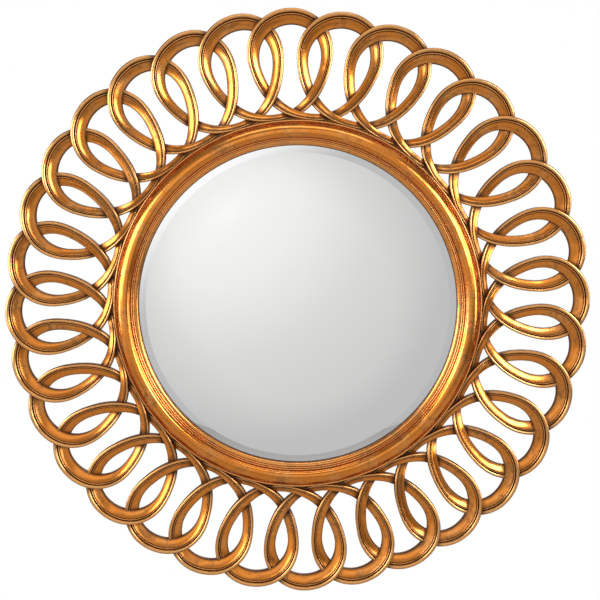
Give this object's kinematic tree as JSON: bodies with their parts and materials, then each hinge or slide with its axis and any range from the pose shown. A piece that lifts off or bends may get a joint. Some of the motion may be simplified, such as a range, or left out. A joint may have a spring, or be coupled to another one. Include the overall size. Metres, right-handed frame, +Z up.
{
  "type": "wall mirror",
  "caption": "Round gilt wall mirror: a flat bevelled plate in a turned ring moulding, set in a wide fret of interlaced oval loops, with swinging ring hangers on the back.",
  "frame": {"origin": "on the mirror's axis, in the plane of the wall that its rubber pads rest on", "axes": "+Y along the mirror's axis into the wall, +Z up, +X to the right as seen from the front"},
  "size_m": [0.8998, 0.0362, 0.8998],
  "materials": {
    "gilt": "antique gold leaf over red-brown ground, burnished high parts, dark recesses",
    "mirror": "silvered float glass with a polished bevel",
    "felt": "thin packing sheet",
    "board": "smooth hardboard",
    "steel": "bright flat points",
    "plated_steel": "zinc plated",
    "rubber": "matt"
  },
  "bodies": {
    "frame": {"ring_moulding": "gilt", "mirror_glass": "mirror", "glass_packing": "felt", "backing_board": "board", "board_points": "steel", "wall_bumpers": "rubber", "hanger_strap_left": "plated_steel", "hanger_strap_right": "plated_steel", "hanger_screws_left": "plated_steel", "hanger_screws_right": "plated_steel", "loop_01": "gilt", "loop_02": "gilt", "loop_03": "gilt", "loop_04": "gilt", "loop_05": "gilt", "loop_06": "gilt", "loop_07": "gilt", "loop_08": "gilt", "loop_09": "gilt", "loop_10": "gilt", "loop_11": "gilt", "loop_12": "gilt", "loop_13": "gilt", "loop_14": "gilt", "loop_15": "gilt", "loop_16": "gilt", "loop_17": "gilt", "loop_18": "gilt", "loop_19": "gilt", "loop_20": "gilt", "loop_21": "gilt", "loop_22": "gilt", "loop_23": "gilt", "loop_24": "gilt", "loop_25": "gilt", "loop_26": "gilt", "loop_27": "gilt", "loop_28": "gilt", "loop_29": "gilt", "loop_30": "gilt", "loop_31": "gilt", "loop_32": "gilt"},
    "ring_left": {"hanger_ring_left": "plated_steel"},
    "ring_right": {"hanger_ring_right": "plated_steel"}
  },
  "joints": [
    {"name": "hanger_left_swing", "type": "hinge", "parent": "frame", "child": "ring_left", "pos_m": [-0.2735, -0.00307, 0.07], "axis": [1, 0, 0], "range_deg": [0, 180]},
    {"name": "hanger_right_swing", "type": "hinge", "parent": "frame", "child": "ring_right", "pos_m": [0.2735, -0.00307, 0.07], "axis": [1, 0, 0], "range_deg": [0, 180]}
  ]
}
